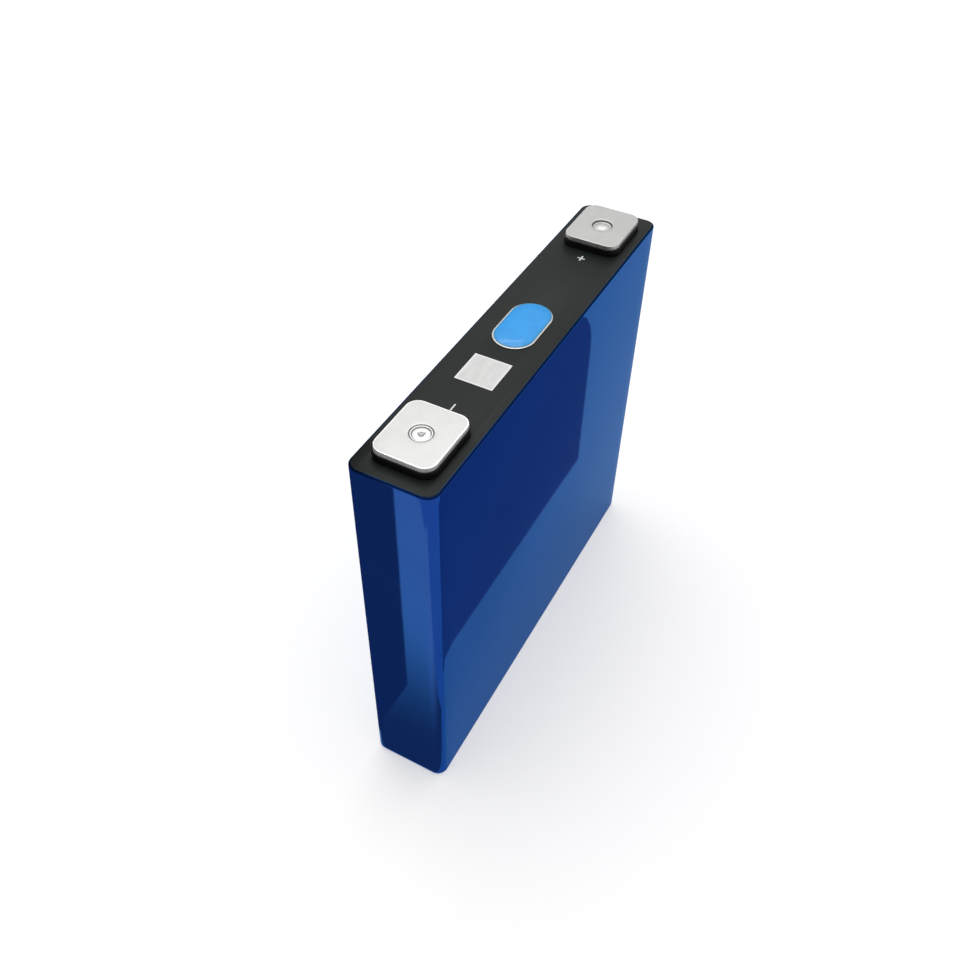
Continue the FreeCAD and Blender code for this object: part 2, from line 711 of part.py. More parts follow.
def make_tabs(core, polarity, core_side, terminal_side):
    """A core's bundle of foil tabs: up out of the core, then flat under the collector."""
    middle = core_side + "(core_thick + core_gap) / 2"
    floor = "film_thick + can_floor + support_thick + sleeve_thick + core_height"
    under = "(deck_height - lid_thick - lower_plate - flange_thick - collector_thick)"
    body = new_body("%s_%s_tabs" % (core, polarity), (terminal_side + "tab_reach", middle, floor))
    if core_side == "-":
        body.Placement.Rotation = FreeCAD.Rotation(FreeCAD.Vector(0, 0, 1), 180)
    rise = "%s - (%s)" % (under, floor)
    leg = new_sketch(body, "LegOutline")
    draw_rectangle(leg, "tab_width", "tab_thick")
    pad(body, leg, rise, "Leg")
    run = "((core_thick + core_gap) / 2 - tab_thick)"
    flat = new_sketch(body, "FlatOutline", at=("0", "tab_thick / 2 - %s / 2" % run, rise + " - tab_thick"))
    draw_rectangle(flat, "tab_width", run)
    bend = pad(body, flat, "tab_thick", "Flat")
    high = size("deck_height") - size("lid_thick") - size("lower_plate") - size("flange_thick")
    high -= size("collector_thick") + core_floor() + size("core_height")
    outside = size("tab_thick") / 2
    flat_on_top = at_height(high)

    def outer_bend(box):
        return flat_on_top(box) and max(abs(box.YMin - outside), abs(box.YMax - outside)) < TOLERANCE

    round_edges(body, bend, outer_bend, "tab_round")


# ---------------------------------------------------------------- the whole cell

def make_cell():
    make_wrap()
    make_can()
    make_bottom_film()
    make_cover_plate()
    make_vent_plate()
    make_vent_film()
    make_top_patch()
    make_label_and_marks()
    make_filling_plug()
    make_filling_cap()
    for polarity, side in (("negative", "-"), ("positive", "")):
        make_terminal_block(polarity, side)
        make_terminal_post(polarity, side)
        make_upper_insulator(polarity, side)
        make_seal_ring(polarity, side)
        make_lower_insulator(polarity, side)
        make_collector(polarity, side)
    make_bottom_support()
    make_core_sleeve()
    for core, side in (("core_a", ""), ("core_b", "-")):
        make_windings(core, -1 if side else 1)
        make_end_tape(core, side)
        make_tabs(core, "negative", side, "-")
        make_tabs(core, "positive", side, "")
    doc.recompute()


def subparts():
    """The finished sub-parts: every body that isn't another one's tool, and every plain shape."""
    tools = [tool for item in doc.Objects if item.TypeId == "PartDesign::Boolean" for tool in item.Group]
    kinds = ("PartDesign::Body", "Part::Feature")
    return [item for item in doc.Objects if item.TypeId in kinds and item not in tools]


def check():
    """Stop if any object failed, or if a sub-part's shape is missing or broken."""
    for item in doc.Objects:
        if "Invalid" in item.State or "Error" in item.State:
            raise RuntimeError("%s is %s" % (item.Label, item.State))
        if item.TypeId == "Sketcher::SketchObject" and not item.FullyConstrained:
            raise RuntimeError("%s isn't fully constrained" % item.Label)
    for item in subparts():
        if item.Shape.isNull() or not item.Shape.isValid() or not item.Shape.Solids:
            raise RuntimeError("%s has no valid solid" % item.Label)


make_cell()
check()
os.makedirs("parts", exist_ok=True)
for part in subparts():
    part.Shape.exportStep("parts/%s.step" % part.Label)
    print("%-28s %10.1f mm3  %d solid" % (part.Label, part.Shape.Volume, len(part.Shape.Solids)))
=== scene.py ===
"""Looks of a blue-wrapped prismatic battery cell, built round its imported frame."""

import math

import bmesh
import bpy
from bpy.props import FloatProperty, FloatVectorProperty, PointerProperty
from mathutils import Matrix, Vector, noise


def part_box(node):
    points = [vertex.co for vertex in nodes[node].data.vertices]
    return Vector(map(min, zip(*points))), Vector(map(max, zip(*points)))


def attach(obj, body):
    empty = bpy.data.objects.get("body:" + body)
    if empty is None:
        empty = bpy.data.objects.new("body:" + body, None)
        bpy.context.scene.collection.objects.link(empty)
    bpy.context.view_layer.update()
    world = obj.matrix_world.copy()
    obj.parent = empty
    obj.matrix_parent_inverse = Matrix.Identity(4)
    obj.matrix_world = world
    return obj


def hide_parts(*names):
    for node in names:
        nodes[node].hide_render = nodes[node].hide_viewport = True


bl_info = {
    "name": "Prismatic Battery Cell",
    "version": (1, 0, 0),
    "blender": (4, 5, 0),
    "location": "View3D > Sidebar > Battery Cell",
    "description": "Wrap, cover, terminals, vent, core and stage of a prismatic battery cell",
    "category": "Add Mesh",
}

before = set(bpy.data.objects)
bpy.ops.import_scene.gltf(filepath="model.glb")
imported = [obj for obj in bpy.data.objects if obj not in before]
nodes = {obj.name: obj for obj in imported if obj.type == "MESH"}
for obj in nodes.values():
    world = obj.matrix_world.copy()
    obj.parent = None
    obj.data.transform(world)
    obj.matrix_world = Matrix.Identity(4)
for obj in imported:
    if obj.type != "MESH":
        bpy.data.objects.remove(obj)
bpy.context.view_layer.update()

MM = 0.001
BODY = "root"
QUARTER = math.pi / 2
HAIR = 1e-7


# ---------------------------------------------------------------- settings


def millimetres(name, description, default):
    """A length setting, given in millimetres and kept in metres."""
    return FloatProperty(
        name=name, description=description, default=default * MM, min=0.0, unit="LENGTH", precision=5
    )


def colour(name, description, default):
    """A colour setting in scene-linear red, green and blue."""
    return FloatVectorProperty(
        name=name, description=description, default=default, size=3, min=0.0, max=1.0, subtype="COLOR"
    )


def amount(name, description, default):
    """A plain setting that isn't below zero."""
    return FloatProperty(name=name, description=description, default=default, min=0.0)


class CellShape(bpy.types.PropertyGroup):
    """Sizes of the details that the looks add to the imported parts."""

    corner: millimetres("Corner", "Radius of the cell's upright corners", 3.6)
    shoulder: millimetres("Shoulder", "Radius where the film turns on to the lid", 0.45)
    foot: millimetres("Foot", "Radius where the film turns under the can", 1.4)
    film: millimetres("Film", "Thickness of the blue film", 0.1)
    film_lip: millimetres("Film lip", "Width of the film seen on the lid beside the black sheet", 0.6)
    ripple: millimetres("Ripple", "How far the film strays from flat on the wide faces", 0.02)
    seam_width: millimetres("Seam width", "Width of the film's overlap on the positive end", 4.2)
    seam_step: millimetres("Seam step", "Height of the film's overlap", 0.08)
    sheet_edge: millimetres("Sheet edge", "Rounding of thin sheets' edges", 0.09)
    block_corner: millimetres("Block corner", "Corner radius of the terminal blocks", 3.7)
    block_bevel: millimetres("Block bevel", "Rounding round the top of a terminal block", 0.18)
    # the polished line is also a painted highlight, lighter than the block's top
    block_line: millimetres("Block line", "Width of the polished line inside that rounding", 0.11)
    tray_rim: millimetres("Tray rim", "Wall of the insulating tray round a block", 0.4)
    tray_round: millimetres("Tray rounding", "Rounding on top of the tray's rim", 0.17)
    tray_drop: millimetres("Tray drop", "How far the tray's rim ends below the packed part", 0.25)
    vent_length: millimetres("Vent length", "Length over the bright rim round the vent", 23.6)
    vent_width: millimetres("Vent width", "Width over the bright rim round the vent", 13.3)
    vent_rim: millimetres("Vent rim", "Width of the bright rim round the vent", 0.75)
    vent_film_length: millimetres("Vent film length", "Length of the light blue vent film", 22.9)
    vent_film_width: millimetres("Vent film width", "Width of the light blue vent film", 12.25)
    vent_film_shift: millimetres("Vent film shift", "Its offset towards the positive end", 0.2)
    vent_film_crown: millimetres("Vent film crown", "Rise of the vent film's middle over its edge", 0.42)
    label_border: millimetres("Label border", "Width of the plain border on the code label", 0.45)


class CellFinish(bpy.types.PropertyGroup):
    """Colours of the cell's materials."""

    film_light: colour("Film", "Blue film", (0.014, 0.060, 0.325))
    film_deep: colour("Film, deeper", "Deeper tone that drifts through the blue film", (0.012, 0.054, 0.30))
    # the hem colour is painted shade: a darker band on the film's shoulder where it turns on to the lid
    film_hem_shade: colour("Film hem", "Doubled film where it turns on to the lid", (0.003, 0.013, 0.062))
    patch: colour("Black face", "Black sheet on the lid", (0.0114, 0.0152, 0.0129))
    plastic: colour("Black plastic", "Insulating trays under the terminal blocks", (0.005, 0.005, 0.005))
    aluminium: colour("Aluminium", "Terminal blocks, lid and can", (0.58, 0.58, 0.572))
    vent_blue: colour("Vent blue", "Light blue vent film", (0.012, 0.37, 0.93))
    vent_edge: colour("Vent blue, edge", "Rim of the vent film", (0.003, 0.27, 0.55))
    label: colour("Label", "Silver of the code label", (0.65, 0.65, 0.645))
    ink: colour("Ink", "Printed polarity marks", (0.86, 0.86, 0.84))


class CellStage(bpy.types.PropertyGroup):
    """Camera, lights and floor."""

    lens: FloatProperty(name="Lens", description="Focal length in millimetres", default=36.94, min=1.0)
    camera_place: FloatVectorProperty(
        name="Camera", description="Where the camera stands", default=(-0.21315, -0.09907, 0.30634),
        size=3, subtype="TRANSLATION", unit="LENGTH",
    )
    camera_turn: FloatVectorProperty(
        name="Camera turn", description="The camera's rotation",
        default=(math.radians(44.930), math.radians(-0.641), math.radians(-61.566)),
        size=3, subtype="EULER",
    )
    floor_tone: colour("Floor", "Pale floor", (0.72, 0.72, 0.72))
    floor_lift: amount("Floor lift", "Glow that keeps the floor pale under the cell", 0.42)
    sky: amount("Sky", "Strength of the plain white surroundings", 1.35)
    horizon: amount("Horizon", "Strength of the light from low down", 0.45)
    near_side: amount("Near side", "Share of the light that comes from the near side", 0.5)
    key: amount("Key light", "Power of the large softbox in watts", 1.0)


# ---------------------------------------------------------------- shapes


def rounded_ring(length, width, corner, z, centre=(0.0, 0.0), arc=8, along=0, across=0):
    """Points round a rounded rectangle, counter-clockwise, with extra points on its straights."""
    half_length = length / 2 - corner
    half_width = width / 2 - corner
    turns = ((1, 1), (-1, 1), (-1, -1), (1, -1))
    corners = []
    for quarter, (side_x, side_y) in enumerate(turns):
        angles = [(quarter + step / arc) * QUARTER for step in range(arc + 1)]
        corners.append([
            Vector((
                centre[0] + side_x * half_length + corner * math.cos(a),
                centre[1] + side_y * half_width + corner * math.sin(a),
                z,
            ))
            for a in angles
        ])
    ring = []
    for quarter in range(4):
        ring += corners[quarter]
        following = corners[(quarter + 1) % 4]
        extra = across if quarter % 2 else along
        for step in range(1, extra + 1):
            ring.append(corners[quarter][-1].lerp(following[0], step / (extra + 1)))
    return ring


def ring_round(ring, centre, radius, z):
    """A circle with a point facing each point of a ring."""
    middle = Vector((centre[0], centre[1], 0))
    points = []
    for point in ring:
        out = (point - middle).to_2d().normalized() * radius
        points.append(Vector((middle.x + out.x, middle.y + out.y, z)))
    return points


def turn_profile(centre, radius, start, end, steps=5):
    """Points of an arc in a profile of (inset, height), with its angles in quarters of a turn."""
    points = []
    for step in range(steps + 1):
        angle = (start + (end - start) * step / steps) * QUARTER
        points.append((centre[0] + radius * math.cos(angle), centre[1] + radius * math.sin(angle)))
    return points


def mesh_piece(name, mesh, crease=32.0):
    """Turn a bmesh into an object with smooth faces and creases where it bends sharply."""
    bmesh.ops.remove_doubles(mesh, verts=mesh.verts, dist=HAIR)
    bmesh.ops.recalc_face_normals(mesh, faces=mesh.faces)
    data = bpy.data.meshes.new(name)
    mesh.to_mesh(data)
    mesh.free()
    data.shade_smooth()
    data.set_sharp_from_angle(angle=math.radians(crease))
    piece = bpy.data.objects.new(name, data)
    bpy.context.scene.collection.objects.link(piece)
    return piece


def loft(name, rings, closed=False, crease=32.0, weighted=True):
    """Skin a row of rings. A closed loft joins the last ring to the first, others get end faces."""
    mesh = bmesh.new()
    rows = [[mesh.verts.new(point) for point in ring] for ring in rings]
    count = len(rings[0])
    pairs = list(zip(rows, rows[1:]))
    if closed:
        pairs.append((rows[-1], rows[0]))
    for lower, upper in pairs:
        for here in range(count):
            there = (here + 1) % count
            mesh.faces.new((lower[here], lower[there], upper[there], upper[here]))
    if not closed:
        mesh.faces.new(list(reversed(rows[0])))
        mesh.faces.new(rows[-1])
    piece = mesh_piece(name, mesh, crease)
    if weighted:
        flat = piece.modifiers.new("Flat faces", "WEIGHTED_NORMAL")
        flat.keep_sharp = True
    return piece


def flat_sheet(name, outlines, low, high, edge):
    """A thin sheet with rounded edges. The first outline is its rim, the others are openings."""
    curve = bpy.data.curves.new(name, "CURVE")
    curve.dimensions = "2D"
    curve.fill_mode = "BOTH"
    curve.extrude = (high - low) / 2 - edge
    curve.bevel_depth = edge
    curve.bevel_resolution = 2
    curve.offset = -edge
    for place, outline in enumerate(outlines):
        points = outline if place == 0 else list(reversed(outline))
        spline = curve.splines.new("POLY")
        spline.points.add(len(points) - 1)
        for point, spot in zip(spline.points, points):
            point.co = (spot.x, spot.y, 0.0, 1.0)
        spline.use_cyclic_u = True
    drawn = bpy.data.objects.new(name + "_outline", curve)
    mesh = bmesh.new()
    mesh.from_mesh(bpy.data.meshes.new_from_object(drawn))
    bmesh.ops.translate(mesh, verts=mesh.verts, vec=(0, 0, (low + high) / 2))
    bpy.data.objects.remove(drawn)
    return mesh_piece(name, mesh)


def middle_of(node):
    """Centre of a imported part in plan."""
    low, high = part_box(node)
    return ((low.x + high.x) / 2, (low.y + high.y) / 2)


def size_of(node):
    """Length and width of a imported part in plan."""
    low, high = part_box(node)
    return high.x - low.x, high.y - low.y


def settle(piece, material, slot, *stands_for):
    """Give a new piece its finish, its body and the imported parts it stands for."""
    piece.data.materials.append(material)
    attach(piece, BODY)
    if stands_for:
        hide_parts(*stands_for)


# ---------------------------------------------------------------- shader building


def add(tree, kind, sockets=None, **settings):
    """Add a shader node. Sockets maps its inputs to plain values or to other nodes' outputs."""
    node = tree.nodes.new(kind)
    for key, value in settings.items():
        setattr(node, key, value)
    for key, value in (sockets or {}).items():
        if isinstance(value, bpy.types.NodeSocket):
            tree.links.new(value, node.inputs[key])
        else:
            node.inputs[key].default_value = value
    return node


def scaled(tree, value, low, high):
    """Spread a mask of 0 to 1 over low to high."""
    node = add(tree, "ShaderNodeMapRange", {0: value, 3: low, 4: high})
    return node.outputs[0]


def mixed(tree, mask, first, second):
    """Mix two colours by a mask."""
    node = add(tree, "ShaderNodeMix", {0: mask, 6: first, 7: second}, data_type="RGBA")
    return node.outputs[2]


def new_group(name, inputs, outputs):
    """Start a shader node group with named sockets."""
    group = bpy.data.node_groups.new(name, "ShaderNodeTree")
    for label, kind, default in inputs:
        group.interface.new_socket(name=label, in_out="INPUT", socket_type=kind).default_value = default
    for label, kind in outputs:
        group.interface.new_socket(name=label, in_out="OUTPUT", socket_type=kind)
    return group, group.nodes.new("NodeGroupInput").outputs, group.nodes.new("NodeGroupOutput").inputs


def grain_group():
    """Fine grain: a noise that can be stretched into brushing or weave."""
    group, entry, leave = new_group(
        "Fine Grain",
        (("Scale", "NodeSocketFloat", 1500.0), ("Stretch", "NodeSocketVector", (1.0, 1.0, 1.0))),
        (("Height", "NodeSocketFloat"), ("Mask", "NodeSocketFloat")),
    )
    place = add(group, "ShaderNodeTexCoord").outputs["Object"]
    pulled = add(group, "ShaderNodeVectorMath", {0: place, 1: entry["Stretch"]}, operation="MULTIPLY")
    fine = add(
        group, "ShaderNodeTexNoise",
        {"Vector": pulled.outputs[0], "Scale": entry["Scale"], "Detail": 3.0, "Roughness": 0.6},
    )
    group.links.new(fine.outputs["Fac"], leave["Height"])
    sharp = add(group, "ShaderNodeMapRange", {0: fine.outputs["Fac"], 1: 0.38, 2: 0.62})
    group.links.new(sharp.outputs[0], leave["Mask"])
    return group


def drift_group():
    """Slow drift of tone and gloss over a surface, as handling and uneven film leave it."""
    group, entry, leave = new_group(
        "Slow Drift",
        (("Scale", "NodeSocketFloat", 30.0),),
        (("Mask", "NodeSocketFloat"), ("Height", "NodeSocketFloat")),
    )
    place = add(group, "ShaderNodeTexCoord").outputs["Object"]
    broad = add(
        group, "ShaderNodeTexNoise",
        {"Vector": place, "Scale": entry["Scale"], "Detail": 2.0, "Distortion": 0.3},
    )
    group.links.new(broad.outputs["Fac"], leave["Height"])
    eased = add(
        group, "ShaderNodeMapRange", {0: broad.outputs["Fac"], 1: 0.3, 2: 0.7},
        interpolation_type="SMOOTHSTEP",
    )
    group.links.new(eased.outputs[0], leave["Mask"])
    return group


def edge_highlight_group():
    """Edge highlights and wear: a painted edge mask broken up by grain. On the black sheet and the terminal
    aluminium it is a painted highlight; on the trays it is a lighter rim.
    """
    group, entry, leave = new_group(
        "Edge Highlights And Wear",
        (("Scale", "NodeSocketFloat", 900.0),),
        (("Mask", "NodeSocketFloat"),),
    )
    edge = add(group, "ShaderNodeAttribute", attribute_name="edge").outputs["Fac"]
    place = add(group, "ShaderNodeTexCoord").outputs["Object"]
    speckle = add(
        group, "ShaderNodeTexNoise", {"Vector": place, "Scale": entry["Scale"], "Detail": 2.0}
    )
    broken = add(group, "ShaderNodeMapRange", {0: speckle.outputs["Fac"], 1: 0.35, 2: 0.6, 3: 0.8})
    both = add(group, "ShaderNodeMath", {0: edge, 1: broken.outputs[0]}, operation="MULTIPLY")
    group.links.new(both.outputs[0], leave["Mask"])
    return group


SHARED = {"Fine Grain": grain_group, "Slow Drift": drift_group, "Edge Highlights And Wear": edge_highlight_group}


def shared(tree, name, **sockets):
    """Place one of the shared effects in a material, with its own values."""
    group = bpy.data.node_groups.get(name) or SHARED[name]()
    node = add(tree, "ShaderNodeGroup", node_tree=group)
    for key, value in sockets.items():
        node.inputs[key].default_value = value
    return node.outputs


def finish_of(name, **constants):
    """A new material and its tree, with the shader's constant sockets set."""
    material = bpy.data.materials.new(name)
    material.use_nodes = True
    tree = material.node_tree
    shader = tree.nodes["Principled BSDF"]
    for key, value in constants.items():
        shader.inputs[key.replace("_", " ")].default_value = value
    return material, tree


def bumped(tree, height, depth, under=None):
    """Bump from a height of 0 to 1, depth in millimetres, on top of another bump."""
    sockets = {"Strength": 1.0, "Distance": depth * MM, "Height": height}
    if under is not None:
        sockets["Normal"] = under
    return add(tree, "ShaderNodeBump", sockets).outputs[0]


def wire(tree, **links):
    """Feed outputs to the shader's named sockets."""
    shader = tree.nodes["Principled BSDF"]
    for key, value in links.items():
        tree.links.new(value, shader.inputs[key.replace("_", " ")])


def rgba(values, lift=1.0):
    """A shader colour from a setting, scaled."""
    return (*(min(1.0, part * lift) for part in values), 1.0)


# ---------------------------------------------------------------- finishes


def blue_film_finish():
    """Glossy blue film over bare aluminium: most of the light comes back tinted from the metal."""
    settings = bpy.context.scene.cell_finish
    material, tree = finish_of(
        "blue_film", Metallic=0.62, Specular_IOR_Level=0.0, Specular_Tint=(0.48, 0.68, 0.82, 1.0)
    )
    drift = shared(tree, "Slow Drift", Scale=22.0)
    grain = shared(tree, "Fine Grain", Scale=900.0)
    # the edge mask paints shade: the hem colour darkens the shoulder where the film turns on to the lid
    hem = add(tree, "ShaderNodeAttribute", attribute_name="edge").outputs["Fac"]
    body = mixed(tree, drift["Mask"], rgba(settings.film_light), rgba(settings.film_deep))
    wire(
        tree,
        Base_Color=mixed(tree, hem, body, rgba(settings.film_hem_shade)),
        Roughness=scaled(tree, grain["Mask"], 0.045, 0.065),
        Normal=bumped(tree, drift["Height"], 0.025),
    )
    return material


def black_face_finish():
    """Satin black sheet with a fine grain and a painted highlight, a lighter line along its outer edge."""
    settings = bpy.context.scene.cell_finish
    material, tree = finish_of("black_face", Specular_IOR_Level=0.19)
    grain = shared(tree, "Fine Grain", Scale=2600.0)
    drift = shared(tree, "Slow Drift", Scale=35.0)
    edge = shared(tree, "Edge Highlights And Wear", Scale=700.0)
    toned = mixed(tree, drift["Mask"], rgba(settings.patch), rgba(settings.patch, 0.86))
    speckled = mixed(tree, scaled(tree, grain["Mask"], 0.0, 0.25), toned, rgba(settings.patch, 1.35))
    wire(
        tree,
        Base_Color=mixed(tree, edge["Mask"], speckled, rgba(settings.patch, 7.0)),
        Roughness=scaled(tree, drift["Mask"], 0.42, 0.50),
        Normal=bumped(tree, grain["Height"], 0.012),
    )
    return material


def black_plastic_finish():
    """Moulded black plastic with a light grain and rubbed edges."""
    settings = bpy.context.scene.cell_finish
    material, tree = finish_of("black_plastic", Specular_IOR_Level=0.22)
    grain = shared(tree, "Fine Grain", Scale=3200.0)
    edge = shared(tree, "Edge Highlights And Wear", Scale=1200.0)
    wire(
        tree,
        Base_Color=mixed(tree, edge["Mask"], rgba(settings.plastic), rgba(settings.plastic, 1.6)),
        Roughness=scaled(tree, grain["Mask"], 0.34, 0.46),
        Normal=bumped(tree, grain["Height"], 0.010),
    )
    return material


def blasted_aluminium_finish():
    """Satin terminal aluminium with polished edges and painted light: the edge mask lightens edges, the
    weld bead and the post crowns as painted highlights, a second mask paints shade in weld grooves and
    dimples, and a third makes sides less metallic so that they read lighter grey.
    """
    settings = bpy.context.scene.cell_finish
    material, tree = finish_of("terminal_aluminium")
    grain = shared(tree, "Fine Grain", Scale=2400.0)
    drift = shared(tree, "Slow Drift", Scale=160.0)
    edge = shared(tree, "Edge Highlights And Wear", Scale=1500.0)
    # painted shade: this mask darkens weld grooves and dimples
    groove_shade = add(tree, "ShaderNodeAttribute", attribute_name="groove_shade").outputs["Fac"]
    matt_lit_sides = add(tree, "ShaderNodeAttribute", attribute_name="matt_lit_sides").outputs["Fac"]
    toned = mixed(tree, drift["Mask"], rgba(settings.aluminium), rgba(settings.aluminium, 0.95))
    grained = mixed(tree, scaled(tree, grain["Mask"], 0.0, 0.3), toned, rgba(settings.aluminium, 1.08))
    edged = mixed(tree, edge["Mask"], grained, rgba(settings.aluminium, 1.65))
    wire(
        tree,
        Base_Color=mixed(tree, groove_shade, edged, rgba(settings.aluminium, 0.16)),
        Metallic=scaled(tree, matt_lit_sides, 0.85, 0.3),
        Roughness=scaled(tree, edge["Mask"], 0.42, 0.24),
        Normal=bumped(tree, grain["Height"], 0.003),
    )
    return material


def brushed_aluminium_finish(name, stretch, low, high):
    """Rolled or drawn aluminium, brushed along one way."""
    settings = bpy.context.scene.cell_finish
    material, tree = finish_of(name, Metallic=0.95)
    lines = shared(tree, "Fine Grain", Scale=900.0, Stretch=stretch)
    drift = shared(tree, "Slow Drift", Scale=60.0)
    toned = mixed(tree, lines["Mask"], rgba(settings.aluminium, 0.95), rgba(settings.aluminium, 1.08))
    dull = scaled(tree, drift["Mask"], 0.0, 0.3)
    wire(
        tree,
        Base_Color=mixed(tree, dull, toned, rgba(settings.aluminium, 0.82)),
        Roughness=scaled(tree, lines["Mask"], low, high),
        Normal=bumped(tree, lines["Height"], 0.006),
    )
    return material


def vent_blue_finish():
    """Soft light blue film with a deeper rim."""
    settings = bpy.context.scene.cell_finish
    material, tree = finish_of(
        "vent_blue", Specular_IOR_Level=0.05, Coat_Weight=0.8, Coat_Roughness=0.15
    )
    drift = shared(tree, "Slow Drift", Scale=180.0)
    grain = shared(tree, "Fine Grain", Scale=1800.0)
    edge = add(tree, "ShaderNodeAttribute", attribute_name="edge").outputs["Fac"]
    toned = mixed(tree, drift["Mask"], rgba(settings.vent_blue), rgba(settings.vent_blue, 0.9))
    wire(
        tree,
        Base_Color=mixed(tree, edge, toned, rgba(settings.vent_edge)),
        Roughness=scaled(tree, drift["Mask"], 0.28, 0.36),
        Normal=bumped(tree, grain["Height"], 0.002, bumped(tree, drift["Height"], 0.02)),
    )
    return material


def label_finish():
    """Silver label with a brighter plain border and a mottled middle."""
    settings = bpy.context.scene.cell_finish
    material, tree = finish_of("silver_label", Metallic=0.25)
    fleck = shared(tree, "Fine Grain", Scale=620.0, Stretch=(1.0, 1.6, 1.0))
    lines = shared(tree, "Fine Grain", Scale=900.0, Stretch=(0.15, 1.0, 1.0))
    edge = add(tree, "ShaderNodeAttribute", attribute_name="edge").outputs["Fac"]
    inner = mixed(tree, fleck["Mask"], rgba(settings.label), rgba(settings.label, 1.12))
    lined = mixed(tree, scaled(tree, lines["Mask"], 0.0, 0.35), inner, rgba(settings.label, 0.88))
    wire(
        tree,
        Base_Color=mixed(tree, edge, lined, rgba(settings.label, 1.28)),
        Roughness=scaled(tree, fleck["Mask"], 0.42, 0.6),
        Normal=bumped(tree, fleck["Height"], 0.01),
    )
    return material


def plain_finish(name, first, second, low, high, scale, depth, stretch=(1.0, 1.0, 1.0), **constants):
    """A finish of two close tones with grain of one size: rubber, plastics, foils and coatings."""
    material, tree = finish_of(name, **constants)
    grain = shared(tree, "Fine Grain", Scale=scale, Stretch=stretch)
    drift = shared(tree, "Slow Drift", Scale=scale / 20)
    toned = mixed(tree, grain["Mask"], rgba(first), rgba(second))
    wire(
        tree,
        Base_Color=mixed(tree, scaled(tree, drift["Mask"], 0.0, 0.5), toned, rgba(second)),
        Roughness=scaled(tree, grain["Mask"], low, high),
        Normal=bumped(tree, grain["Height"], depth),
    )
    return material


def ink_finish():
    """White print with slightly uneven cover."""
    tone = tuple(bpy.context.scene.cell_finish.ink)
    thin = tuple(part * 0.85 for part in tone)
    return plain_finish("white_ink", tone, thin, 0.4, 0.55, 2500.0, 0.004)


EVEN = (1, 1, 1)
UPRIGHT = (1, 1, 0.1)
METAL = {"Metallic": 0.95}

# name: first tone, second tone, roughness low and high, grain scale, grain depth, stretch, constants
INNER_FINISHES = {
    "seal_rubber": ((0.02, 0.02, 0.022), (0.03, 0.03, 0.03), 0.5, 0.7, 2500.0, 0.01, EVEN, {}),
    "white_plastic": ((0.78, 0.78, 0.74), (0.7, 0.7, 0.66), 0.35, 0.5, 1800.0, 0.008, EVEN, {}),
    "clear_film": ((0.62, 0.66, 0.68), (0.54, 0.58, 0.62), 0.18, 0.3, 600.0, 0.01, EVEN, {}),
    "copper": ((0.80, 0.38, 0.22), (0.70, 0.30, 0.17), 0.22, 0.38, 900.0, 0.006, UPRIGHT, METAL),
    "tab_aluminium": ((0.82, 0.82, 0.82), (0.72, 0.72, 0.73), 0.22, 0.36, 900.0, 0.006, UPRIGHT, METAL),
    "cathode_coating": ((0.035, 0.036, 0.038), (0.05, 0.05, 0.052), 0.6, 0.8, 2200.0, 0.012, EVEN, {}),
    "anode_coating": ((0.015, 0.015, 0.016), (0.028, 0.028, 0.03), 0.5, 0.72, 2200.0, 0.012, EVEN, {}),
    "separator": ((0.82, 0.82, 0.80), (0.74, 0.74, 0.72), 0.4, 0.55, 1500.0, 0.006, (1, 1, 0.3), {}),
    "green_tape": ((0.03, 0.28, 0.12), (0.02, 0.22, 0.09), 0.25, 0.4, 900.0, 0.006, EVEN, {}),
}


def finish(name):
    """A material by its slot's name, made the first time it is asked for."""
    made = bpy.data.materials.get("look_" + name)
    if made:
        return made
    makers = {
        "blue_film": blue_film_finish,
        "black_patch": black_face_finish,
        "black_plastic": black_plastic_finish,
        "terminal_aluminium": blasted_aluminium_finish,
        "case_aluminium": lambda: brushed_aluminium_finish("case_aluminium", (1.0, 1.0, 0.05), 0.3, 0.42),
        "vent_aluminium": lambda: brushed_aluminium_finish("vent_aluminium", (1.0, 1.0, 1.0), 0.16, 0.26),
        "vent_blue": vent_blue_finish,
        "silver_label": label_finish,
        "white_ink": ink_finish,
    }
    if name in makers:
        material = makers[name]()
    else:
        first, second, low, high, scale, depth, stretch, constants = INNER_FINISHES[name]
        material = plain_finish(name, first, second, low, high, scale, depth, stretch, **constants)
    material.name = "look_" + name
    return material


# ---------------------------------------------------------------- pieces


def mark_edges(piece, test, mask_name="edge"):
    """Paint a mask: 1 at the points that test picks, or the share that it gives."""
    data = piece.data
    mask = data.attributes.new(mask_name, "FLOAT", "POINT")
    for vertex in data.vertices:
        mask.data[vertex.index].value = float(test(vertex.co))


def near_radius(centre, *bands):
    """A test for points within bands of (radius, half width, share) round a centre, in millimetres."""
    def share(spot):
        out = math.hypot(spot.x - centre[0], spot.y - centre[1]) / MM
        return max(depth if abs(out - radius) < reach else 0.0 for radius, reach, depth in bands)
    return share


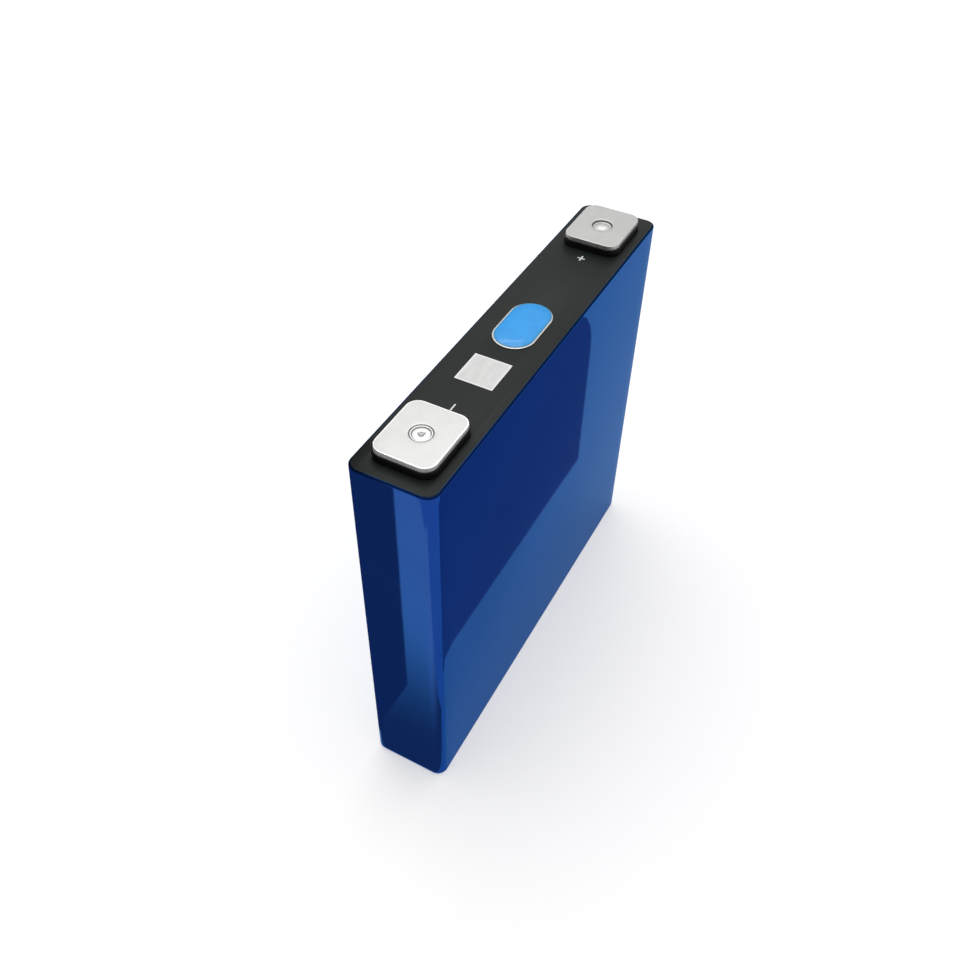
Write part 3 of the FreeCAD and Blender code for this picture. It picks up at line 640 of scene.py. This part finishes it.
class CELL_OT_blue_film(bpy.types.Operator):
    """Build the blue film round the can and its overlap seam on the positive end"""

    bl_idname = "cell.blue_film"
    bl_label = "Blue film"

    def execute(self, context):
        shape = context.scene.cell_shape
        low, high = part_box("blue_film_wrap")
        length, width = size_of("blue_film_wrap")
        under = high.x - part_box("bottom_film")[1].x
        over = shape.film_lip
        levels = 44
        bend = 6
        tight = 0.12 * MM
        calm_height = 8 * MM
        calm_length = 12 * MM
        hem = high.z - shape.shoulder

        def profile(skin):
            foot = turn_profile((shape.foot, low.z + shape.foot), shape.foot - skin, -1, -2, bend)
            head = turn_profile((shape.shoulder, hem), shape.shoulder - skin, 2, 1, bend)
            start, end = foot[-1][1], head[0][1]
            sides = [(skin, start + (end - start) * step / levels) for step in range(1, levels)]
            sides = [(skin, start + tight)] + sides + [(skin, end - tight)]
            return [(under, low.z + skin)] + foot + sides + head + [(over, high.z - skin)]

        def ring(inset, z):
            points = rounded_ring(
                length - 2 * inset, width - 2 * inset, shape.corner - inset, z,
                arc=10, along=28, across=8,
            )
            fade = min(1.0, max(0.0, min(z - low.z, high.z - z) / calm_height))
            for point in points:
                across_end = min(1.0, max(0.0, (length / 2 - abs(point.x)) / calm_length))
                wave = noise.noise(Vector((point.x * 30, point.y * 8, point.z * 30)))
                point.y += math.copysign(1, point.y) * wave * shape.ripple * fade * across_end
            return points

        rows = profile(0.0) + list(reversed(profile(shape.film)))
        rings = [ring(*spot) for spot in rows]
        film = loft("blue_film_skin", rings, closed=True, crease=60, weighted=False)

        def hem_share(spot):
            return min(1.0, max(0.0, (spot.z - hem) / tight))

        # painted shade: the mask darkens the film's shoulder where it turns on to the lid
        mark_edges(film, hem_share)
        settle(film, finish("blue_film"), "blue_film", "blue_film_wrap")

        # the seam: a ribbon lying on the positive end, thin at one side, stepped and dark at the other
        line_width = 0.3 * MM
        near, far = -shape.seam_width, line_width
        line = far - line_width
        # across the end, and the share of the step's height
        section = (
            (near, 0.0), (near + 0.6 * MM, 0.7), (line - 0.06 * MM, 1.0), (line, 1.0),
            (far, 0.75), (far, -0.4), (near, -0.4),
        )
        ribbon = []
        for inset, z in profile(0.0)[bend + 1:-2]:
            ribbon.append([
                Vector((high.x - inset + rise * shape.seam_step, y, z)) for y, rise in section
            ])
        seam = loft("film_overlap_seam", ribbon, crease=40, weighted=False)
        # the seam's shoulder carries the same painted shade, and its stepped edge gets a dark line
        mark_edges(seam, lambda spot: max(hem_share(spot), 0.8 * (spot.y > line - 0.01 * MM)))
        settle(seam, finish("blue_film"), "blue_film")
        return {"FINISHED"}


class CELL_OT_black_face(bpy.types.Operator):
    """Build the black sheet on the lid, with its openings for the vent and the terminals"""

    bl_idname = "cell.black_face"
    bl_label = "Black face"

    def execute(self, context):
        shape = context.scene.cell_shape
        low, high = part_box("top_patch")
        inset = shape.film_lip
        length, width = (part - 2 * inset for part in size_of("blue_film_wrap"))
        gap = 0.03 * MM
        band = 0.07 * MM
        outlines = [rounded_ring(length, width, shape.corner - inset, 0.0, arc=12)]
        outlines.append(rounded_ring(
            shape.vent_length + gap, shape.vent_width + gap, (shape.vent_width + gap) / 2, 0.0,
            middle_of("vent_plate"), arc=16,
        ))
        for side in ("negative", "positive"):
            tray = side + "_upper_insulator"
            tray_length, tray_width = size_of(tray)
            outlines.append(rounded_ring(
                tray_length + gap, tray_width + gap, shape.block_corner + shape.tray_rim, 0.0,
                middle_of(tray), arc=10,
            ))
        sheet = flat_sheet("black_face_sheet", outlines, low.z, high.z, shape.sheet_edge)
        reach = Vector((length / 2, width / 2))

        def near_rim(spot):
            return reach.x - abs(spot.x) < band or reach.y - abs(spot.y) < band

        # painted highlight: a thin lighter band along the sheet's outer edge, where its rounded edge
        # catches the light
        mark_edges(sheet, near_rim)
        settle(sheet, finish("black_patch"), "black_patch", "top_patch")
        return {"FINISHED"}


# radius and depth, in millimetres, from the rim of the weld recess inwards
BEADED_WELD = (
    (4.6, 0.0), (3.5, 0.0), (3.4, -0.01), (3.34, -0.05), (3.27, -0.3), (3.17, -0.34),
    (3.08, -0.2), (2.98, -0.1), (2.84, -0.07), (2.7, -0.12), (2.6, -0.3), (2.48, -0.6),
)
PLAIN_WELD = (
    (4.6, 0.0), (3.5, 0.0), (3.4, -0.02), (3.3, -0.1), (3.2, -0.45), (3.05, -0.62),
    (2.9, -0.66), (2.7, -0.68), (2.6, -0.7), (2.48, -0.72),
)
DIMPLED_CROWN = (
    (2.52, -0.5), (2.42, -0.34), (2.2, -0.26), (1.7, -0.22), (1.2, -0.22), (1.0, -0.25),
    (0.85, -0.36), (0.6, -0.46), (0.3, -0.5), (0.05, -0.5),
)
PLAIN_CROWN = (
    (2.52, -0.7), (2.42, -0.67), (2.2, -0.64), (1.8, -0.6), (1.4, -0.56), (1.0, -0.53),
    (0.6, -0.51), (0.3, -0.5), (0.05, -0.5),
)


class CELL_OT_terminals(bpy.types.Operator):
    """Build the two terminal blocks with their welded posts and insulating trays"""

    bl_idname = "cell.terminals"
    bl_label = "Terminals"

    def execute(self, context):
        for side in ("negative", "positive"):
            self.tray(context, side)
            self.block(context, side)
            self.post(context, side)
        return {"FINISHED"}

    def tray(self, context, side):
        """The moulded tray that keeps a block off the lid."""
        shape = context.scene.cell_shape
        node = side + "_upper_insulator"
        low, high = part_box(node)
        high.z -= shape.tray_drop
        length, width = size_of(node)
        outer = shape.block_corner + shape.tray_rim
        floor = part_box(side + "_terminal_block")[0].z
        flare = 0.06 * MM
        inner = 0.1 * MM
        profile = [(0.0, low.z), (flare, low.z + 0.25 * (high.z - low.z))]
        profile += turn_profile(
            (flare + shape.tray_round, high.z - shape.tray_round), shape.tray_round, 2, 1, 4
        )
        profile += turn_profile((shape.tray_rim - inner, high.z - inner), inner, 1, 0, 3)
        profile.append((shape.tray_rim, floor))
        rings = [
            rounded_ring(length - 2 * inset, width - 2 * inset, outer - inset, z, middle_of(node), arc=10)
            for inset, z in profile
        ]
        tray = loft(side + "_tray", rings)
        mark_edges(tray, lambda spot: spot.z > high.z - 0.5 * shape.tray_round)
        settle(tray, finish("black_plastic"), "black_plastic", node)

    def block(self, context, side):
        """The aluminium block: bevelled plate with a round weld recess."""
        shape = context.scene.cell_shape
        node = side + "_terminal_block"
        low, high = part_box(node)
        length, width = size_of(node)
        centre = middle_of(node)
        top = high.z
        bevel = shape.block_bevel
        line = bevel + shape.block_line
        edge = turn_profile((bevel, top - bevel), bevel, 2, 1, 6)
        foot = 0.15 * MM
        blend = 0.08 * MM
        field = 0.4 * MM
        corner = shape.block_corner
        plate = [(foot, low.z), (0.0, low.z + foot), (0.0, top - bevel - blend)] + edge
        plate += [(line, top), (line + blend, top), (line + field, top)]
        rings = [
            rounded_ring(
                length - 2 * inset, width - 2 * inset, corner - inset, z, centre,
                arc=12, along=18, across=14,
            )
            for inset, z in plate
        ]
        weld = BEADED_WELD if side == "negative" else PLAIN_WELD
        outline = rings[-1]
        for radius, depth in weld:
            rings.append(ring_round(outline, centre, radius * MM, top + depth * MM))
        block = loft(side + "_block", rings, crease=50)

        straight = Vector((length / 2 - corner, width / 2 - corner))

        def inset_of(spot):
            past_x = abs(spot.x - centre[0]) - straight.x
            past_y = abs(spot.y - centre[1]) - straight.y
            if past_x > 0 and past_y > 0:
                return corner - math.hypot(past_x, past_y)
            return corner - max(past_x, past_y)

        # painted highlight: a lighter line along the block's top edge and on the weld bead, full on the
        # negative block and faint on the positive; the negative block's sides are also given a less
        # metallic satin finish so that they read lighter grey than the positive's, as lit and shaded copies
        # of one aluminium
        polish_and_highlight = 1.0 if side == "negative" else 0.12
        matt_lit_sides = 1.0 if side == "negative" else 0.0
        below = top - bevel - blend / 2
        on_bead = near_radius(centre, (2.87, 0.18, 0.8 * polish_and_highlight))
        mark_edges(block, lambda spot: max(
            polish_and_highlight * (spot.z > below and inset_of(spot) < line + 0.03 * MM), on_bead(spot)
        ))
        mark_edges(block, lambda spot: matt_lit_sides * (spot.z < below), "matt_lit_sides")
        # painted shade in the weld recess: dark rings in the negative block's grooves, a dark band on the
        # positive block's dish wall
        if side == "negative":
            mark_edges(block, near_radius(centre, (3.23, 0.09, 0.8), (2.56, 0.1, 0.35)), "groove_shade")
        else:
            mark_edges(block, near_radius(centre, (3.15, 0.16, 0.75)), "groove_shade")
        settle(block, finish("terminal_aluminium"), "terminal_aluminium", node)

    def post(self, context, side):
        """The rivet's top inside the recess, with its dimple."""
        node = side + "_terminal_post"
        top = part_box(side + "_terminal_block")[1].z
        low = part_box(node)[0].z
        centre = middle_of(side + "_terminal_block")
        reach = size_of(node)[0] / 2
        # a circle of any size: its points only set the directions
        seed = rounded_ring(10 * MM, 10 * MM, 5 * MM, 0.0, centre, arc=16)
        stem = 2.7 * MM
        dimple, lobes, lobe_depth, lobe_turn = 1.1, 3, 0.22, 2.3 * QUARTER
        sides = (
            (reach, low), (reach, low + 1.4 * MM), (stem, low + 1.6 * MM), (stem, top - 0.9 * MM),
        )
        rings = [ring_round(seed, centre, radius, z) for radius, z in sides]
        crown = DIMPLED_CROWN if side == "negative" else PLAIN_CROWN
        for radius, depth in crown:
            lobed = ring_round(seed, centre, radius * MM, top + depth * MM)
            if radius < dimple and side == "negative":
                for point in lobed:
                    away = point.xy - Vector(centre)
                    lobe = 1 + lobe_depth * math.cos(lobes * (math.atan2(away.y, away.x) - lobe_turn))
                    point.xy = Vector(centre) + away * lobe
            rings.append(lobed)
        post = loft(side + "_post", rings, crease=50)
        # painted highlight on the post's crown: a lighter ring round the dimple on the negative post and a
        # lighter middle on the positive; painted shade in the negative post's groove and dimple
        if side == "negative":
            mark_edges(post, near_radius(centre, (1.8, 0.65, 1.0)))
            mark_edges(post, near_radius(centre, (2.5, 0.06, 0.5), (0.35, 0.45, 0.35)), "groove_shade")
        else:
            mark_edges(post, near_radius(centre, (0.5, 0.95, 1.0)))
        settle(post, finish("terminal_aluminium"), "terminal_aluminium", node)


class CELL_OT_vent(bpy.types.Operator):
    """Build the vent: its bright rim, and the light blue film laid in the rim"""

    bl_idname = "cell.vent"
    bl_label = "Vent"

    def execute(self, context):
        shape = context.scene.cell_shape
        centre = middle_of("vent_plate")
        length, width = shape.vent_length, shape.vent_width
        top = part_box("cover_plate")[1].z + 0.02 * MM
        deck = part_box("top_patch")[0].z
        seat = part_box("vent_film")[0].z
        soft = 0.16 * MM
        ledge = seat + 0.02 * MM
        rim = [(0.0, deck - 0.1 * MM)] + turn_profile((soft, top - soft), soft, 2, 1, 4)
        rim += turn_profile((shape.vent_rim - soft, top - soft), soft, 1, 0, 4)
        rim += [(shape.vent_rim, ledge), (shape.vent_rim - 0.1 * MM, ledge)]
        rings = [
            rounded_ring(
                length - 2 * inset, width - 2 * inset, width / 2 - inset, z, centre, arc=20, along=4
            )
            for inset, z in rim
        ]
        ring = loft("vent_rim", rings, closed=True)
        settle(ring, finish("vent_aluminium"), "case_aluminium")

        long, wide = shape.vent_film_length, shape.vent_film_width
        place = (centre[0] + shape.vent_film_shift, centre[1])
        roll = 0.1 * MM
        cover = [(0.25 * MM, seat + 0.05 * MM), (roll, top - roll)]
        cover += turn_profile((roll, top), roll, 2, 1, 4)
        half = wide / 2
        steps, slope, flat = 14, 0.62 * half, 0.3 * MM
        for step in range(1, steps + 1):
            inset = roll + (half - roll - flat) * (step / steps)
            swell = math.sin(min(1.0, (inset - roll) / slope) * QUARTER)
            cover.append((inset, top + roll + shape.vent_film_crown * swell))
        rings = [
            rounded_ring(long - 2 * inset, wide - 2 * inset, half - inset, z, place, arc=18, along=6)
            for inset, z in cover
        ]
        film = loft("vent_film_cover", rings, crease=60, weighted=False)
        straight = long / 2 - half
        rim_fade = 0.42 * MM

        def rim_share(spot):
            out = Vector((max(0.0, abs(spot.x - place[0]) - straight), spot.y - place[1])).length
            return min(1.0, max(0.0, 1.7 - (half - out) / rim_fade))

        mark_edges(film, rim_share)
        settle(film, finish("vent_blue"), "vent_blue", "vent_film")
        return {"FINISHED"}


class CELL_OT_label(bpy.types.Operator):
    """Build the silver code label, left without any code"""

    bl_idname = "cell.label"
    bl_label = "Label and marks"

    def execute(self, context):
        shape = context.scene.cell_shape
        low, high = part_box("code_label")
        length, width = size_of("code_label")
        centre = middle_of("code_label")
        border = shape.label_border
        rows = (
            (0.0, low.z), (0.0, high.z - 0.02 * MM), (0.02 * MM, high.z), (border, high.z),
            (border + 0.08 * MM, high.z - 0.015 * MM), (border + 1.5 * MM, high.z - 0.015 * MM),
        )
        rings = [
            rounded_ring(length - 2 * inset, width - 2 * inset, 0.06 * MM, z, centre, arc=3)
            for inset, z in rows
        ]
        label = loft("code_label_blank", rings, crease=50)
        reach = (length / 2 - border, width / 2 - border)
        mark_edges(
            label,
            lambda spot: (
                abs(spot.x - centre[0]) > reach[0] - HAIR or abs(spot.y - centre[1]) > reach[1] - HAIR
            ),
        )
        settle(label, finish("silver_label"), "silver_label", "code_label")
        return {"FINISHED"}


class CELL_OT_packed_parts(bpy.types.Operator):
    """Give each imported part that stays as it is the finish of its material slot"""

    bl_idname = "cell.packed_parts"
    bl_label = "Can, lid, core and marks"

    def execute(self, context):
        for part in nodes.values():
            if part.hide_render:
                continue
            for place in part.material_slots:
                place.material = finish(place.material.name.split(".")[0])
        return {"FINISHED"}


# ---------------------------------------------------------------- stage


FADE_LOW = 0.12


def glow(name, tone, strength, fade=None):
    """An emitting material for cards. Fade is (start, end) in millimetres along -X, from dim."""
    material = bpy.data.materials.new(name)
    material.use_nodes = True
    tree = material.node_tree
    tree.nodes.remove(tree.nodes["Principled BSDF"])
    light = add(tree, "ShaderNodeEmission", {"Color": rgba(tone), "Strength": strength})
    if fade:
        place = add(tree, "ShaderNodeTexCoord").outputs["Object"]
        along = add(tree, "ShaderNodeSeparateXYZ", {0: place}).outputs["X"]
        grown = add(
            tree, "ShaderNodeMapRange",
            {0: along, 1: fade[0] * MM, 2: fade[1] * MM, 3: FADE_LOW, 4: strength},
            interpolation_type="SMOOTHSTEP",
        )
        tree.links.new(grown.outputs[0], light.inputs["Strength"])
    tree.links.new(light.outputs[0], tree.nodes["Material Output"].inputs["Surface"])
    return material


def flag(name, corners, tone, strength=1.0, fade=None):
    """A card that only shows in reflections, as the flags round a product table do."""
    mesh = bmesh.new()
    mesh.faces.new([mesh.verts.new([part * MM for part in corner]) for corner in corners])
    card = mesh_piece(name, mesh)
    card.data.materials.append(glow(name + "_tone", tone, strength, fade))
    card.visible_camera = False
    card.visible_diffuse = False
    card.visible_transmission = False
    card.visible_volume_scatter = False
    card.visible_shadow = False


class CELL_OT_stage(bpy.types.Operator):
    """Set up the pale floor, the soft light, the flags and the camera"""

    bl_idname = "cell.stage"
    bl_label = "Stage"

    def execute(self, context):
        scene = context.scene
        settings = scene.cell_stage
        self.floor(settings)
        self.lights(scene, settings)
        self.flags()
        camera = bpy.data.objects.new("camera", bpy.data.cameras.new("camera"))
        camera.data.lens = settings.lens
        camera.data.clip_start = 0.01
        camera.location = settings.camera_place
        camera.rotation_euler = settings.camera_turn
        scene.collection.objects.link(camera)
        scene.camera = camera
        scene.view_settings.view_transform = "Standard"
        return {"FINISHED"}

    def floor(self, settings):
        """A wide pale floor a hair below the cell's foot, so that the two aren't in one plane."""
        mesh = bmesh.new()
        bmesh.ops.create_grid(mesh, x_segments=12, y_segments=12, size=6.0)
        clearance = 0.05 * MM
        bmesh.ops.translate(mesh, verts=mesh.verts, vec=(0, 0, -clearance))
        floor = mesh_piece("floor", mesh)
        material, tree = finish_of("pale_floor", Specular_IOR_Level=0.1)
        drift = shared(tree, "Slow Drift", Scale=3.0)
        tone = settings.floor_tone
        wire(
            tree,
            Base_Color=mixed(tree, drift["Mask"], rgba(tone), rgba(tone, 0.995)),
            Roughness=scaled(tree, drift["Mask"], 0.7, 0.8),
        )
        shader = tree.nodes["Principled BSDF"].inputs
        shader["Emission Color"].default_value = (1.0, 1.0, 1.0, 1.0)
        shader["Emission Strength"].default_value = settings.floor_lift
        floor.data.materials.append(material)

    def lights(self, scene, settings):
        """White surroundings, dimmer low down except to the camera, and a large softbox behind."""
        world = bpy.data.worlds.new("white_room")
        scene.world = world
        world.use_nodes = True
        tree = world.node_tree
        way = add(tree, "ShaderNodeTexCoord").outputs["Generated"]
        height = add(tree, "ShaderNodeSeparateXYZ", {0: way}).outputs["Z"]
        spread = add(
            tree, "ShaderNodeMapRange",
            {0: height, 1: 0.35, 2: 0.8, 3: settings.horizon, 4: settings.sky},
            interpolation_type="SMOOTHSTEP",
        )
        far = add(tree, "ShaderNodeVectorMath", {0: way, 1: (0.86, 0.51, 0.0)}, operation="DOT_PRODUCT")
        sided = add(
            tree, "ShaderNodeMapRange",
            {0: far.outputs["Value"], 1: -0.7, 2: 0.7, 3: settings.near_side, 4: 1.05},
        )
        both = add(
            tree, "ShaderNodeMath", {0: spread.outputs[0], 1: sided.outputs[0]}, operation="MULTIPLY"
        )
        seen = add(tree, "ShaderNodeLightPath").outputs["Is Camera Ray"]
        chosen = add(tree, "ShaderNodeMix", {0: seen, 2: both.outputs[0], 3: 1.0}, data_type="FLOAT")
        background = tree.nodes["Background"].inputs
        background["Color"].default_value = (1.0, 1.0, 1.0, 1.0)
        tree.links.new(chosen.outputs[0], background["Strength"])
        lamp = bpy.data.lights.new("softbox", "AREA")
        lamp.shape = "RECTANGLE"
        lamp.size = 0.5
        lamp.size_y = 0.4
        lamp.energy = settings.key
        softbox = bpy.data.objects.new("softbox", lamp)
        softbox.location = (0.16, 0.18, 0.85)
        aim = Vector((0, 0, 0.1)) - softbox.location
        softbox.rotation_euler = aim.to_track_quat("-Z", "Y").to_euler()
        scene.collection.objects.link(softbox)

    def flags(self):
        """Dark flags beside the cell, and bright cards far off and on the table, for its reflections."""
        beside, steps = -22, 6
        side = [(-66, beside, 43), (48, beside, 43), (48, beside, 96)]
        for step in range(1, steps + 1):
            angle = step / steps * QUARTER
            side.append((26 + 22 * math.cos(angle), beside, 96 + 24 * math.sin(angle)))
        side.append((-66, beside, 120))
        flag("side_flag", side, (0.20, 0.16, 0.30))
        flag(
            "end_flag",
            [(-98, 15, 4), (-98, 15, 150), (-60, 15, 150), (-60, 15, 4)],
            (0.001, 0.002, 0.012),
        )
        flag(
            "far_strip",
            [(285, 282, 560), (395, 118, 560), (385, 112, 612), (275, 276, 612)],
            (1.0, 1.0, 1.0), 5.0,
        )
        # its fade paints shade on the card near the cell's foot, where the film reflects the table
        flag(
            "table_card",
            [(-185, -38, 0.5), (-185, 115, 0.5), (-74.6, 115, 0.5), (-74.6, -38, 0.5)],
            (1.0, 0.64, 0.42), 3.0, (-82, -128),
        )


PIECES = (
    CELL_OT_blue_film,
    CELL_OT_black_face,
    CELL_OT_terminals,
    CELL_OT_vent,
    CELL_OT_label,
    CELL_OT_packed_parts,
    CELL_OT_stage,
)


class CELL_PT_sidebar(bpy.types.Panel):
    """Lists the cell's pieces and settings in the sidebar"""

    bl_idname = "CELL_PT_sidebar"
    bl_label = "Battery Cell"
    bl_space_type = "VIEW_3D"
    bl_region_type = "UI"
    bl_category = "Battery Cell"

    def draw(self, context):
        for piece in PIECES:
            self.layout.operator(piece.bl_idname, text=piece.bl_label)
        for group in (context.scene.cell_shape, context.scene.cell_finish, context.scene.cell_stage):
            box = self.layout.box()
            for name in group.__annotations__:
                box.prop(group, name)


CLASSES = (CellShape, CellFinish, CellStage, *PIECES, CELL_PT_sidebar)


def register():
    for item in CLASSES:
        bpy.utils.register_class(item)
    bpy.types.Scene.cell_shape = PointerProperty(type=CellShape)
    bpy.types.Scene.cell_finish = PointerProperty(type=CellFinish)
    bpy.types.Scene.cell_stage = PointerProperty(type=CellStage)


def unregister():
    del bpy.types.Scene.cell_stage
    del bpy.types.Scene.cell_finish
    del bpy.types.Scene.cell_shape
    for item in reversed(CLASSES):
        bpy.utils.unregister_class(item)


def main():
    """Build every piece in order."""
    register()
    bpy.ops.cell.blue_film()
    bpy.ops.cell.black_face()
    bpy.ops.cell.terminals()
    bpy.ops.cell.vent()
    bpy.ops.cell.label()
    bpy.ops.cell.packed_parts()
    bpy.ops.cell.stage()


if __name__ == "__main__":
    main()
